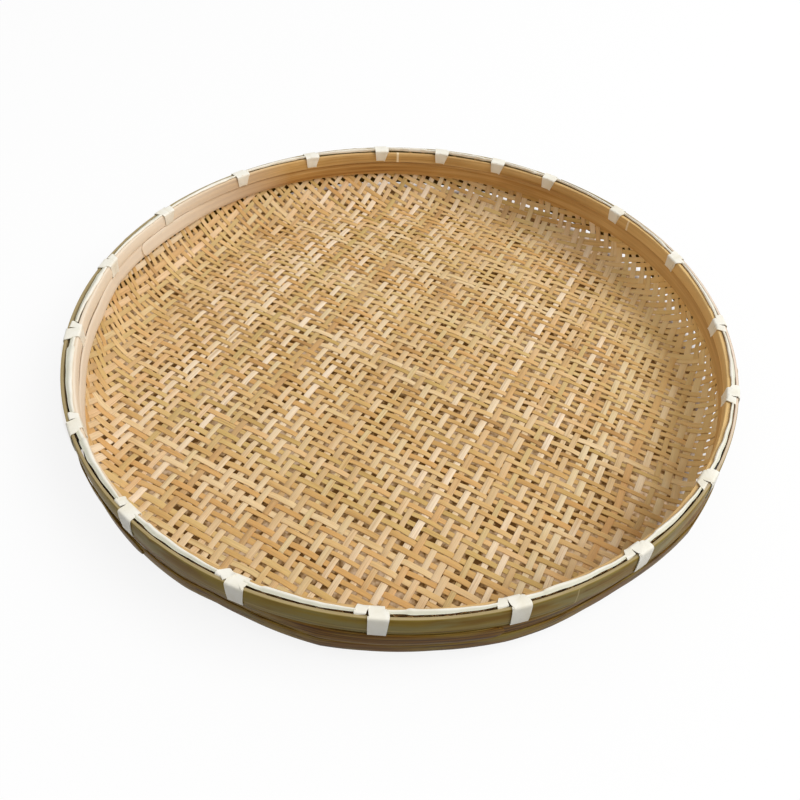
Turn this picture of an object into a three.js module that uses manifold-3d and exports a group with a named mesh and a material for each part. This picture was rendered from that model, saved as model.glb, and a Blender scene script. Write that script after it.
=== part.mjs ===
// A zaru: a round, shallow bamboo tray. A mat of split bamboo is pressed into a dish, its edge is
// pinched between an outer and an inner hoop, thin liner hoops hold the wall below them from both
// sides, and the rim is lashed at even steps with flat packing band.
// Millimetres, +Z up, origin on the table under the middle of the tray.
import * as THREE from 'three';
import { mergeVertices } from 'three/addons/utils/BufferGeometryUtils.js';
import Module from 'manifold-3d';

const wasm = await Module();
wasm.setup();

// Whole tray
const rimRadius = 300; // outside of the outer hoop at its top edge
const rimHeight = 66; // table to the top edges of the hoops
const seatGap = 0.3; // clearance between pieces that touch
const ringSteps = 80; // facets round each ring

// Woven mat
const splitThickness = 0.9;
const wideSplitPitch = 10.35;
const wideSplitWidth = 4.7;
const narrowSplitPitch = 7.74;
const narrowSplitWidth = 4;
const weaveTurn = -26.9; // degrees, direction of the narrow splits
const weaveSink = 0.1; // upper splits lie below the face of the wall's foot
const wallFootRun = 4; // flat foot of the wall round the open base
const splitBite = 2; // how far the splits run into that foot
const matEdgeDrop = 1.5; // mat edge below the tops of the hoops
const bellyInset = 0.8; // widest ring of the mat inside the rim radius
const cornerRadius = 25; // outside radius from wall to base
const cornerLimitShare = 0.8; // largest corner, of the height below the hoop
const cornerSteps = 4;
const bellySteps = 2;
const bellyPullShare = 0.35; // how far the belly curve stays upright at each end, of its height

// Outer hoop
const outerHoopHeight = 19.5;
const outerHoopThickness = 3;
const outerHoopCrown = 0.5; // bulge of the bamboo skin at mid height
const outerHoopLean = 1.5; // bottom edge stands out further than the top edge
const outerHoopLap = 70; // length of the scarf joint
const outerHoopLapEnd = 54; // degrees, where the visible tip lies

// Inner hoop
const innerHoopHeight = 12;
const innerHoopThickness = 3.4;
const innerHoopCrown = 0.4;
const innerHoopLap = 78;
const innerHoopLapEnd = 36;

// Both hoops
const edgeBreak = 0.5; // worn corner of the hoops' seen faces
const edgeBreakShare = 0.4; // largest worn corner, of the thickness there
const underTip = 0.6; // scarf: thickness of the hidden tip
const overTip = 1; // scarf: thickness of the visible tip
const shoulderRun = 1; // scarf: length of the step that each tip meets
const nodeRise = 0.4; // ridge at each joint of the bamboo culm
const nodeRun = 5; // half the length of that ridge
const outerNodeTie = 1; // tie before the outer hoop's first culm joint
const outerNodeTieSteps = 3; // ties from one of its culm joints to the next
const innerNodeTie = 2;
const innerNodeTieSteps = 4;

// Inner liner
const innerLinerHeight = 15;
const innerLinerThickness = 1.4;
const innerLinerLapEnd = 160; // degrees

// Outer liner
const outerLinerHeight = 27;
const outerLinerThickness = 1.2;
const outerLinerLapEnd = 284;

// Both liners
const linerLap = 60; // how far one end lies over the other
const linerLapBend = 40; // length over which the lapping end steps off the wall
const linerEndRound = 5; // rounding of the visible end
const linerEndShares = [0.5, 0.8, 0.95]; // stations along that rounding

// Lashing
const tieCount = 20;
const firstTieAngle = -91.4; // degrees
const tieShiftShares = [
  0, 0.01, 0.09, 0.08, 0.16, 0.14, 0.21, 0.21, 0.21, -0.08,
  -0.33, -0.54, -0.62, -0.66, -0.52, -0.47, -0.39, -0.19, -0.12, -0.05,
]; // hand-tied: how far each tie strays from its even place, of one pitch
const bandThickness = 0.6;
const bandWidth = 14;
const bendShare = 0.55; // cut of the band's bends, of its offset from the hoop
const slotBendShare = 0.65;
const bandBulge = 1.3; // the stiff band stands off the inner hoop's top edge
const bulgeShare = 0.7; // of that bulge, what is left at the inner hoop's mid height
const flapWidth = 9;
const flapSlit = 1; // slit between flap and loop at the top
const flapLift = 0.2; // the flap lies this much over the loop
const flapSlantShare = 0.45; // sideways travel of the flap at mid height
const tailInset = 0.3; // middle of the tail outside the inner hoop's hidden face
const tailUnder = 2; // length of the tail under the loop
const tailRootWidth = 3; // band folded flat where it leaves the loop
const tailRootHeight = 1;
const tailRootRun = 10;
const tailStepRun = 3; // length of the step up to the fold
const tailWidth = 5.2; // band folded loosely past the root
const tailHeight = 1.8;
const tailEndWidth = 3.8; // at the next flap
const tailSideShare = 0.6; // height of the tail's upright sides
const tailCrestShare = 0.1; // crest of the tail from its middle, of its width

// Places that follow from the sizes
const stepAngle = (2 * Math.PI) / ringSteps;
const facetDip = rimRadius * (1 - Math.cos(stepAngle / 2)); // middle of a facet inside its ring
const matThickness = 2 * splitThickness + seatGap + weaveSink;
const bandOffset = seatGap + bandThickness / 2;
const bandBend = edgeBreak + bendShare * bandOffset;
const slotHeight = rimHeight - innerHoopHeight - bandOffset;
const hoopFoot = rimHeight - outerHoopHeight;
const wallFoot = Math.min(hoopFoot, slotHeight - bandOffset);
const outerHoopInside = rimRadius - outerHoopThickness;
const leanAtSlot = (outerHoopLean * (rimHeight - slotHeight)) / outerHoopHeight;
const bandRoom = outerHoopInside + leanAtSlot - 2 * bandOffset - facetDip;
const matOuter = Math.min(outerHoopInside - seatGap, bandRoom);
const matInner = matOuter - matThickness;
const bellyRadius = rimRadius - bellyInset;
const corner = Math.min(cornerRadius, cornerLimitShare * wallFoot);
const baseRadius = bellyRadius - corner; // where the flat base ends
const openBase = baseRadius - wallFootRun; // inside the wall's foot
const innerHoopOutside = matInner - seatGap;
const innerHoopInside = innerHoopOutside - innerHoopThickness;
const bandInside = innerHoopInside - bandOffset - facetDip;
const innerLinerTop = slotHeight - bandOffset;
const outerLinerTop = hoopFoot - 2 * bandOffset;
const tiePitch = (2 * Math.PI) / tieCount;

const radians = (degrees) => THREE.MathUtils.degToRad(degrees);
const tieAngle = (index) => {
  const shift = tieShiftShares[index % tieCount % tieShiftShares.length];
  return radians(firstTieAngle) + (index + shift) * tiePitch;
};

// Skins a closed solid over outlines that follow one another. Each outline turns against the
// direction of travel. An open run gets a flat cap at both ends.
function skin(outlines, closed) {
  const count = outlines[0].length;
  const positions = outlines.flat().flatMap((point) => point.toArray());
  const indices = [];
  const last = closed ? outlines.length : outlines.length - 1;
  for (let run = 0; run < last; run += 1) {
    const here = run * count;
    const next = ((run + 1) % outlines.length) * count;
    for (let side = 0; side < count; side += 1) {
      const turn = (side + 1) % count;
      indices.push(here + side, next + side, next + turn);
      indices.push(here + side, next + turn, here + turn);
    }
  }
  if (!closed) {
    const end = (outlines.length - 1) * count;
    for (let side = 1; side < count - 1; side += 1) {
      indices.push(0, side, side + 1);
      indices.push(end, end + side + 1, end + side);
    }
  }
  const geometry = new THREE.BufferGeometry();
  geometry.setAttribute('position', new THREE.Float32BufferAttribute(positions, 3));
  geometry.setIndex(indices);
  geometry.computeVertexNormals();
  return geometry;
}

function toSolid(geometry) {
  const bare = geometry.clone();
  bare.deleteAttribute('normal');
  bare.deleteAttribute('uv');
  const merged = mergeVertices(bare);
  const corners = Array.from(merged.index.array);
  const faces = [];
  for (let at = 0; at < corners.length; at += 3) {
    const [a, b, c] = corners.slice(at, at + 3);
    if (a !== b && b !== c && c !== a) faces.push(a, b, c);
  }
  const vertProperties = new Float32Array(merged.attributes.position.array);
  const triVerts = new Uint32Array(faces);
  return new wasm.Manifold(new wasm.Mesh({ numProp: 3, vertProperties, triVerts }));
}

function toGeometry(solid) {
  const { vertProperties, triVerts } = solid.getMesh();
  const geometry = new THREE.BufferGeometry();
  geometry.setAttribute('position', new THREE.Float32BufferAttribute(vertProperties, 3));
  geometry.setIndex(Array.from(triVerts));
  geometry.computeVertexNormals();
  return geometry;
}

const onRing = (radius, angle, height) =>
  new THREE.Vector3(radius * Math.cos(angle), radius * Math.sin(angle), height);

// The wall: flat foot, round corner, a belly and an upright edge between the hoops.
function wallSide(inset) {
  const radius = corner - inset;
  const pull = bellyPullShare * (wallFoot - corner);
  const points = [];
  for (let step = 0; step < cornerSteps; step += 1) {
    const angle = (step / cornerSteps - 1) * (Math.PI / 2);
    points.push(new THREE.Vector2(
      baseRadius + radius * Math.cos(angle),
      corner + radius * Math.sin(angle),
    ));
  }
  const belly = new THREE.CubicBezierCurve(
    new THREE.Vector2(bellyRadius - inset, corner),
    new THREE.Vector2(bellyRadius - inset, corner + pull),
    new THREE.Vector2(matOuter - inset, wallFoot - pull),
    new THREE.Vector2(matOuter - inset, wallFoot),
  );
  points.push(...belly.getPoints(bellySteps));
  points.push(new THREE.Vector2(matOuter - inset, rimHeight - matEdgeDrop));
  return points;
}

function matSlot(angle) {
  const slot = new THREE.BoxGeometry(
    matThickness + 2 * bandWidth,
    bandWidth + 2 * seatGap,
    2 * bandOffset,
  );
  slot.translate(matOuter, 0, slotHeight);
  slot.rotateZ(angle);
  return toSolid(slot);
}

// Splits of one direction, side by side across the base. Their ends are cut to run into the
// wall's foot all round.
function splitRow(pitch, width, bottom, turn) {
  const splits = [];
  const reach = openBase + splitBite;
  const side = Math.floor((openBase - width / 2) / pitch);
  for (let index = -side; index <= side; index += 1) {
    const left = index * pitch - width / 2;
    const right = index * pitch + width / 2;
    const leftHalf = Math.sqrt(reach ** 2 - left ** 2);
    const rightHalf = Math.sqrt(reach ** 2 - right ** 2);
    const outline = new THREE.Shape([
      new THREE.Vector2(-leftHalf, left),
      new THREE.Vector2(leftHalf, left),
      new THREE.Vector2(rightHalf, right),
      new THREE.Vector2(-rightHalf, right),
    ]);
    const split = new THREE.ExtrudeGeometry(outline, { depth: splitThickness, bevelEnabled: false });
    split.rotateZ(turn);
    split.translate(0, 0, bottom);
    splits.push(toSolid(split));
  }
  return splits;
}

// The base is open between its splits: the narrow ones lie on the table and the wide ones cross
// over them. All of them go up into the wall, which is one closed band.
function wovenMat() {
  const foot = new THREE.Vector2(openBase, 0);
  const profile = [
    foot,
    ...wallSide(0),
    ...wallSide(matThickness).reverse(),
    new THREE.Vector2(openBase, matThickness),
    foot,
  ];
  const wall = new THREE.LatheGeometry(profile, ringSteps);
  wall.rotateX(Math.PI / 2);
  let solid = toSolid(wall);
  for (let index = 0; index < tieCount; index += 1) {
    solid = solid.subtract(matSlot(tieAngle(index)));
  }
  const along = radians(weaveTurn);
  const upper = splitThickness + seatGap;
  const narrow = splitRow(narrowSplitPitch, narrowSplitWidth, 0, along);
  const wide = splitRow(wideSplitPitch, wideSplitWidth, upper, along + Math.PI / 2);
  for (const split of [...narrow, ...wide]) solid = solid.add(split);
  return toGeometry(solid);
}

// Section of a split: its hidden face is flat and its seen face is crowned and worn at the edges.
function splitOutline(angle, split) {
  const { hidden, seen, bottom, top, crown, lean, leanHeight } = split;
  const side = Math.sign(seen - hidden);
  const worn = side * Math.min(edgeBreak, edgeBreakShare * Math.abs(seen - hidden));
  const rise = Math.abs(worn);
  const corners = [
    [hidden, bottom],
    [seen - worn, bottom],
    [seen, bottom + rise],
    [seen + side * crown, (bottom + top) / 2],
    [seen, top - rise],
    [seen - worn, top],
    [hidden, top],
  ];
  if (side < 0) corners.reverse();
  return corners.map(([radius, height]) => {
    const leaning = (lean * (rimHeight - height)) / leanHeight;
    return onRing(radius + leaning, angle, height);
  });
}

// A split bent round the rim with its two ends pared to a scarf. The visible end lies on the seen
// side and stops against a shoulder, and the hidden end lies under it.
function lappedHoop(split, lapLength, lapEndDegrees, culmJoints) {
  const { hidden, seen } = split;
  const side = Math.sign(seen - hidden);
  const thickness = Math.abs(seen - hidden);
  const lapSteps = Math.max(2, Math.round(lapLength / (hidden * stepAngle)));
  const endStep = Math.round(radians(lapEndDegrees) / stepAngle);
  const start = (endStep - lapSteps) * stepAngle;
  const gapAngle = seatGap / hidden;
  const shoulderAngle = shoulderRun / hidden;
  const lapAngle = lapSteps * stepAngle;
  const runAngle = nodeRun / hidden;
  const parting = (share) => THREE.MathUtils.lerp(underTip, thickness - overTip, share);
  const under = (share) => ({
    ...split,
    seen: hidden + side * (parting(share) - seatGap / 2),
    crown: 0,
  });
  const over = (share) => ({ ...split, hidden: hidden + side * (parting(share) + seatGap / 2) });

  const ridge = { ...split, crown: split.crown + nodeRise };
  const ridgeSteps = culmJoints
    .map((joint) => Math.round(THREE.MathUtils.euclideanModulo(joint - start, 2 * Math.PI) / stepAngle))
    .filter((step) => step > lapSteps + 1 && step < ringSteps - 1);

  const stations = [{ angle: gapAngle, section: under(0) }];
  for (let step = 1; step <= lapSteps; step += 1) {
    stations.push({ angle: step * stepAngle, section: under(step / lapSteps) });
  }
  stations.push({ angle: lapAngle + shoulderAngle, section: split });
  for (let step = lapSteps + 1; step < ringSteps; step += 1) {
    const angle = step * stepAngle;
    if (ridgeSteps.includes(step)) {
      stations.push({ angle: angle - runAngle, section: split });
      stations.push({ angle, section: ridge });
      stations.push({ angle: angle + runAngle, section: split });
    } else {
      stations.push({ angle, section: split });
    }
  }
  stations.push({ angle: 2 * Math.PI - shoulderAngle, section: split });
  for (let step = 0; step < lapSteps; step += 1) {
    stations.push({ angle: 2 * Math.PI + step * stepAngle, section: over(step / lapSteps) });
  }
  stations.push({ angle: 2 * Math.PI + lapAngle - gapAngle, section: over(1) });
  return skin(stations.map(({ angle, section }) => splitOutline(start + angle, section)), false);
}

// Joints of the culm lie half way between two ties, where no band crosses them.
function culmJoints(firstTie, tieSteps) {
  const joints = [];
  for (let index = firstTie; index < firstTie + tieCount; index += tieSteps) {
    joints.push((tieAngle(index) + tieAngle(index + 1)) / 2);
  }
  return joints;
}

function outerHoop() {
  return lappedHoop({
    hidden: outerHoopInside,
    seen: rimRadius,
    bottom: hoopFoot,
    top: rimHeight,
    crown: outerHoopCrown,
    lean: outerHoopLean,
    leanHeight: outerHoopHeight,
  }, outerHoopLap, outerHoopLapEnd, culmJoints(outerNodeTie, outerNodeTieSteps));
}

function innerHoop() {
  return lappedHoop({
    hidden: innerHoopOutside,
    seen: innerHoopInside,
    bottom: rimHeight - innerHoopHeight,
    top: rimHeight,
    crown: innerHoopCrown,
    lean: 0,
    leanHeight: innerHoopHeight,
  }, innerHoopLap, innerHoopLapEnd, culmJoints(innerNodeTie, innerNodeTieSteps));
}

// A thin, wide hoop against the wall. One rounded end laps over the other on its seen side.
function liner({ hidden, side, thickness, height, top, lapEndDegrees }) {
  const lapSteps = Math.max(2, Math.round(linerLap / (hidden * stepAngle)));
  const bendSteps = Math.max(1, Math.round(linerLapBend / (hidden * stepAngle)));
  const start = (Math.round(radians(lapEndDegrees) / stepAngle) - lapSteps) * stepAngle;
  const roundAngle = linerEndRound / hidden;
  const lapAngle = lapSteps * stepAngle;
  const outline = (turned, heightShare) => {
    const intoBend = (turned - 2 * Math.PI) / (bendSteps * stepAngle) + 1;
    const offWall = (thickness + seatGap) * THREE.MathUtils.clamp(intoBend, 0, 1);
    const back = hidden + side * offWall;
    const face = back + side * thickness;
    const half = (height / 2) * heightShare;
    const middle = top - height / 2;
    const corners = [
      onRing(face, start + turned, middle - half),
      onRing(back, start + turned, middle - half),
      onRing(back, start + turned, middle + half),
      onRing(face, start + turned, middle + half),
    ];
    return side < 0 ? corners : corners.reverse();
  };
  const outlines = [outline(seatGap / hidden, 1)];
  for (let step = 1; step < ringSteps + lapSteps; step += 1) {
    outlines.push(outline(step * stepAngle, 1));
  }
  const roundStart = 2 * Math.PI + lapAngle - roundAngle;
  for (const share of linerEndShares) {
    outlines.push(outline(roundStart + share * roundAngle, Math.sqrt(1 - share * share)));
  }
  return skin(outlines, false);
}

function innerLiner() {
  return liner({
    hidden: innerHoopOutside,
    side: -1,
    thickness: innerLinerThickness,
    height: innerLinerHeight,
    top: innerLinerTop,
    lapEndDegrees: innerLinerLapEnd,
  });
}

function outerLiner() {
  return liner({
    hidden: bellyRadius + seatGap,
    side: 1,
    thickness: outerLinerThickness,
    height: outerLinerHeight,
    top: outerLinerTop,
    lapEndDegrees: outerLinerLapEnd,
  });
}

// Flat band laid along a route of { radius, height, aside } stops in the plane of the rim section.
function bandAlong(route, width, closed) {
  const count = route.length;
  const leg = (from, to) =>
    new THREE.Vector2(to.radius - from.radius, to.height - from.height).normalize();
  const outlines = route.map((stop, index) => {
    const before = route[(index + count - 1) % count];
    const after = route[(index + 1) % count];
    const arriving = index > 0 || closed ? leg(before, stop) : leg(stop, after);
    const leaving = index < count - 1 || closed ? leg(stop, after) : arriving;
    const along = arriving.clone().add(leaving).normalize();
    const mitre = bandThickness / 2 / along.dot(arriving);
    const outX = along.y * mitre;
    const outZ = -along.x * mitre;
    const aside = stop.aside ?? 0;
    const near = (aside - width / 2) / rimRadius;
    const far = (aside + width / 2) / rimRadius;
    return [
      onRing(stop.radius - outX, near, stop.height - outZ),
      onRing(stop.radius - outX, far, stop.height - outZ),
      onRing(stop.radius + outX, far, stop.height + outZ),
      onRing(stop.radius + outX, near, stop.height + outZ),
    ];
  });
  return skin(outlines, closed);
}

// The loop goes up the outer hoop, over both hoops, down the inner hoop, out through the mat and
// down behind the outer hoop to its lower edge.
function tieLoop() {
  const outside = rimRadius + bandOffset;
  const foot = hoopFoot - bandOffset;
  const top = rimHeight + bandOffset;
  const inside = bandInside;
  const behind = matOuter + bandOffset;
  const slotBend = slotBendShare * bandOffset;
  return bandAlong([
    { radius: behind + bandBend, height: foot },
    { radius: outside + outerHoopLean - bandBend, height: foot },
    { radius: outside + outerHoopLean, height: foot + bandBend },
    { radius: outside + outerHoopLean / 2 + outerHoopCrown, height: (hoopFoot + rimHeight) / 2 },
    { radius: outside, height: top - bandBend },
    { radius: outside - bandBend, height: top },
    { radius: inside - bandBulge + bandBend, height: top },
    { radius: inside - bandBulge, height: top - bandBend },
    { radius: inside - bulgeShare * bandBulge, height: rimHeight - innerHoopHeight / 2 },
    { radius: inside, height: slotHeight + bandBend },
    { radius: inside + bandBend, height: slotHeight },
    { radius: behind - slotBend, height: slotHeight },
    { radius: behind, height: slotHeight - slotBend },
    { radius: behind, height: foot + bandBend },
  ], bandWidth, true);
}

// Beside the loop, the band that arrives along the channel folds over the inner hoop and slants
// down to join the loop at its lower edge.
function tieFlap() {
  const top = rimHeight + bandOffset;
  const inside = bandInside - flapLift;
  const far = -(bandWidth / 2 + flapSlit + flapWidth / 2);
  const near = -(bandWidth - flapWidth) / 2;
  const middle = THREE.MathUtils.lerp(far, near, flapSlantShare);
  const channel = (outerHoopInside + innerHoopOutside) / 2;
  return bandAlong([
    { radius: channel, height: top + flapLift, aside: far },
    { radius: inside - bandBulge + bandBend, height: top + flapLift, aside: far },
    { radius: inside - bandBulge, height: top - bandBend, aside: far },
    {
      radius: inside - bulgeShare * bandBulge,
      height: rimHeight - innerHoopHeight / 2,
      aside: middle,
    },
    { radius: inside, height: slotHeight + bandBend, aside: near },
  ], flapWidth, false);
}

// The band leaves the loop folded flat, opens into a loose fold and lies over the channel as far
// as the next flap.
function tieTail(angleToNext) {
  const middle = innerHoopOutside + tailInset;
  const bottom = rimHeight + bandOffset;
  const flapReach = bandWidth / 2 + flapSlit + flapWidth + seatGap;
  const from = bandWidth / 2 - tailUnder;
  const to = angleToNext * rimRadius - flapReach;
  const foldStart = bandWidth / 2 + tailRootRun + tailStepRun;
  const stations = [
    { aside: from, width: tailRootWidth, height: tailRootHeight },
    { aside: foldStart - tailStepRun, width: tailRootWidth, height: tailRootHeight },
    { aside: foldStart, width: tailWidth, height: tailHeight },
    { aside: (foldStart + to) / 2, width: tailWidth, height: tailHeight },
    { aside: to, width: tailEndWidth, height: tailHeight },
  ];
  return skin(stations.map(({ aside, width, height }) => {
    const angle = aside / rimRadius;
    return [
      onRing(middle - width / 2, angle, bottom),
      onRing(middle + width / 2, angle, bottom),
      onRing(middle + width / 2, angle, bottom + tailSideShare * height),
      onRing(middle - tailCrestShare * width, angle, bottom + height),
      onRing(middle - width / 2, angle, bottom + tailSideShare * height),
    ];
  }), false);
}

function rimTie(angleToNext) {
  const loop = toSolid(tieLoop());
  const flap = toSolid(tieFlap());
  const tail = toSolid(tieTail(angleToNext));
  return toGeometry(loop.add(flap).add(tail));
}

function material(color, roughness) {
  return new THREE.MeshStandardMaterial({ color, roughness, metalness: 0 });
}

function addPiece(group, name, geometry, finish) {
  const mesh = new THREE.Mesh(geometry, finish);
  mesh.name = name;
  group.add(mesh);
  return mesh;
}

const zaru = new THREE.Group();
addPiece(zaru, 'woven_mat', wovenMat(), material(0xc09a5c, 0.7));
addPiece(zaru, 'outer_hoop', outerHoop(), material(0x8a7a4c, 0.5));
addPiece(zaru, 'inner_hoop', innerHoop(), material(0xb58c4e, 0.6));
addPiece(zaru, 'inner_liner', innerLiner(), material(0xa87b3e, 0.6));
addPiece(zaru, 'outer_liner', outerLiner(), material(0x7a6a40, 0.5));
for (let index = 0; index < tieCount; index += 1) {
  const angle = tieAngle(index);
  const name = `rim_tie_${String(index + 1).padStart(2, '0')}`;
  const lashing = rimTie(tieAngle(index + 1) - angle);
  const tie = addPiece(zaru, name, lashing, material(0xe9e7df, 0.4));
  tie.rotation.z = angle;
}

export default zaru;
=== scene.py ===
import math

import bmesh
import bpy
import numpy as np
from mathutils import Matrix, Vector


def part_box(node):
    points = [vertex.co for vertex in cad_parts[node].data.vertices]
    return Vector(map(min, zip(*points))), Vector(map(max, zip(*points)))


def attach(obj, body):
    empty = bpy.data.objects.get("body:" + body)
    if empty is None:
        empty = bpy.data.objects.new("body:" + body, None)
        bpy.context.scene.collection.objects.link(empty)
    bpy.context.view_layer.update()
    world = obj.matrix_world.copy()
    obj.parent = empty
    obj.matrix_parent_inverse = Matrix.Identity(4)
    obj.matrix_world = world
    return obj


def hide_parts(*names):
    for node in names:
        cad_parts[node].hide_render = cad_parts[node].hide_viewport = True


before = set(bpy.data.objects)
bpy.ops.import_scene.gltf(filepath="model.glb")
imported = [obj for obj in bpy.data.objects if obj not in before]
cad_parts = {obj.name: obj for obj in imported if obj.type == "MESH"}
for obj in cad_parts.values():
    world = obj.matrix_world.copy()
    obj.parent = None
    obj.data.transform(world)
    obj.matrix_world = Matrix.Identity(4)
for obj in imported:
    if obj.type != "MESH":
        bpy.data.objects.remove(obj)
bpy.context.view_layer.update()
print("frame loaded:", len(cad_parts), "nodes")

mm = 0.001

# Places that several pieces share, in metres
tray = {
    "rimRadius": 300 * mm,  # outside of the outer hoop at its top
    "rimHeight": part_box("inner_hoop")[1].z,
    "bellyRadius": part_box("woven_mat")[1].x,
    "matThickness": 2.2 * mm,
    "wallFoot": 46.5 * mm,  # where the wall goes up behind the outer hoop
    "matOuter": 296.5 * mm,
    "innerInside": 290.6 * mm,
    "slotHeight": 53.4 * mm,  # where the lashing goes through the mat
}


# Closed bars: a flat grid is rolled up so that its long edges meet

def layerNamed(layers, name):
    return layers.get(name) or layers.new(name)


def rollBar(bm, centres, across, upward, outline, tone=0.0, hue=0.0, shade=None, along=None,
            joined=False):
    # outline holds (across, upward) offsets for each station; joined bars meet end to end
    steps, sides = len(centres) - 1, outline.shape[1]
    places = centres[:, None] + across[:, None] * outline[..., :1] + upward[:, None] * outline[..., 1:]
    if along is None:
        along = np.concatenate([[0], np.cumsum(np.linalg.norm(np.diff(centres, axis=0), axis=1))])
    grain = layerNamed(bm.verts.layers.float_vector, "grainPlace")
    toneLayer = layerNamed(bm.verts.layers.float, "splitTone")
    hueLayer = layerNamed(bm.verts.layers.float, "splitHue")
    # skin share of each corner, and on the tails their painted shade
    shadeLayer = layerNamed(bm.verts.layers.float, "skinAndTailShade")
    made = bmesh.ops.create_grid(bm, x_segments=steps, y_segments=sides, size=0.5)["verts"]
    for vert in made:
        run = round((vert.co.x + 0.5) * steps)
        turn = round((vert.co.y + 0.5) * sides) % sides
        vert[grain] = (along[run], outline[run, turn, 0] + tone, outline[run, turn, 1])
        vert[toneLayer] = tone
        vert[hueLayer] = hue
        vert[shadeLayer] = shade[turn] if shade is not None else 0.0
        vert.co = places[0 if joined and run == steps else run, turn]


def meshObject(bm, name, material):
    bmesh.ops.recalc_face_normals(bm, faces=bm.faces)
    mesh = bpy.data.meshes.new(name)
    bm.to_mesh(mesh)
    bm.free()
    mesh.materials.append(material)
    made = bpy.data.objects.new(name, mesh)
    bpy.context.scene.collection.objects.link(made)
    return made


def finishPiece(bm, name, node, material, sharpAngle=32):
    bmesh.ops.remove_doubles(bm, verts=bm.verts, dist=0.002 * mm)
    openEdges = [edge for edge in bm.edges if edge.is_boundary]
    if openEdges:
        bmesh.ops.holes_fill(bm, edges=openEdges, sides=0)
    piece = meshObject(bm, name, material)
    mesh = piece.data
    mesh.polygons.foreach_set("use_smooth", [True] * len(mesh.polygons))
    mesh.set_sharp_from_angle(angle=math.radians(sharpAngle))
    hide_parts(node)
    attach(piece, "root")
    print(name, "built:", len(mesh.polygons), "faces")


def unit(vectors):
    return vectors / np.linalg.norm(vectors, axis=-1, keepdims=True)


def outwardAt(angle):
    # level directions away from the middle of the tray
    return np.stack([np.cos(angle), np.sin(angle), np.zeros(len(angle))], -1)


def upwards(count):
    return np.tile([0, 0, 1.0], (count, 1))


def slowNoise(rng, count, period):
    # smooth random wander from -1 to 1 over count stations
    knots = rng.uniform(-1, 1, max(4, int(count / period) + 3))
    at = np.linspace(0, len(knots) - 1.001, count)
    low = at.astype(int)
    blend = (1 - np.cos((at - low) * math.pi)) / 2
    return knots[low] * (1 - blend) + knots[low + 1] * blend


# Materials

def startMaterial(name, roughness, shine=0.5):
    material = bpy.data.materials.new(name)
    material.use_nodes = True
    shader = material.node_tree.nodes["Principled BSDF"]
    shader.inputs["Roughness"].default_value = roughness
    shader.inputs["Specular IOR Level"].default_value = shine
    return material, material.node_tree, shader


def addNode(tree, kind, inputs=None, **settings):
    node = tree.nodes.new(kind)
    for key, value in settings.items():
        setattr(node, key, value)
    for key, value in (inputs or {}).items():
        if isinstance(value, bpy.types.NodeSocket):
            tree.links.new(value, node.inputs[key])
        else:
            node.inputs[key].default_value = value
    return node


def linear(colour):
    # sRGB numbers from 0 to 255 as a linear colour
    parts = [part / 255 for part in colour]
    return tuple(p / 12.92 if p <= 0.04045 else ((p + 0.055) / 1.055) ** 2.4 for p in parts) + (1,)


def colourRamp(tree, factor, stops):
    node = addNode(tree, "ShaderNodeValToRGB", {"Fac": factor})
    ramp = node.color_ramp
    while len(ramp.elements) < len(stops):
        ramp.elements.new(0.5)
    for element, (place, colour) in zip(ramp.elements, stops):
        element.position = place
        element.color = linear(colour)
    return node.outputs["Color"]


def noiseAlong(tree, place, scale, detail):
    # noise in the piece's own straightened space: scale is (along, across, through)
    mapping = addNode(tree, "ShaderNodeMapping", {"Vector": place, "Scale": scale})
    noise = addNode(tree, "ShaderNodeTexNoise", {
        "Vector": mapping.outputs["Vector"], "Scale": 1.0, "Detail": detail, "Roughness": 0.55})
    return noise.outputs["Fac"]


def noisesOf(tree, place, grain):
    return {key: noiseAlong(tree, place, scale, detail) for key, (scale, detail) in grain.items()}


def mixColours(tree, factor, first, second, blend="MIX"):
    node = addNode(tree, "ShaderNodeMix", data_type="RGBA", blend_type=blend)
    for key, value in (("Factor", factor), ("A", first), ("B", second)):
        socket = next(s for s in node.inputs if s.name == key and s.enabled)
        if isinstance(value, bpy.types.NodeSocket):
            tree.links.new(value, socket)
        else:
            socket.default_value = value
    return next(s for s in node.outputs if s.enabled)


def mapRange(tree, value, low, high, toLow, toHigh):
    node = addNode(tree, "ShaderNodeMapRange", {
        "Value": value, "From Min": low, "From Max": high, "To Min": toLow, "To Max": toHigh})
    return node.outputs["Result"]


def tint(tree, colour, value, look):
    # look is (from, to, share, colour): the colour mixed in as the value goes from one to the other
    low, high, share, tinted = look
    return mixColours(tree, mapRange(tree, value, low, high, 0.0, share), colour, linear(tinted))


def addStrands(tree, colour, fibre, low, high):
    # lighter and darker fibres over a colour
    strand = mapRange(tree, fibre, 0.3, 0.7, low, high)
    grey = addNode(tree, "ShaderNodeCombineColor", {
        "Red": strand, "Green": strand, "Blue": strand}).outputs["Color"]
    return mixColours(tree, 1.0, colour, grey, "MULTIPLY")


def rightward(tree):
    # how far right on the tray, in metres
    where = addNode(tree, "ShaderNodeTexCoord").outputs["Object"]
    return addNode(tree, "ShaderNodeSeparateXYZ", {"Vector": where}).outputs["X"]


def attribute(tree, name, output="Fac"):
    return addNode(tree, "ShaderNodeAttribute", attribute_name=name).outputs[output]


def seamAt(tree, place, along, halfWidth):
    # 1 on a thin line across a bar, at this length along it
    run = addNode(tree, "ShaderNodeSeparateXYZ", {"Vector": place}).outputs["X"]
    away = addNode(tree, "ShaderNodeMath", {0: run, 1: along}, operation="SUBTRACT").outputs[0]
    away = addNode(tree, "ShaderNodeMath", {0: away}, operation="ABSOLUTE").outputs[0]
    return mapRange(tree, away, halfWidth, halfWidth * 0.6, 0.0, 1.0)


def addBump(tree, shader, height, strength, distance):
    bump = addNode(tree, "ShaderNodeBump", {"Height": height, "Strength": strength, "Distance": distance})
    tree.links.new(bump.outputs["Normal"], shader.inputs["Normal"])


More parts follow.
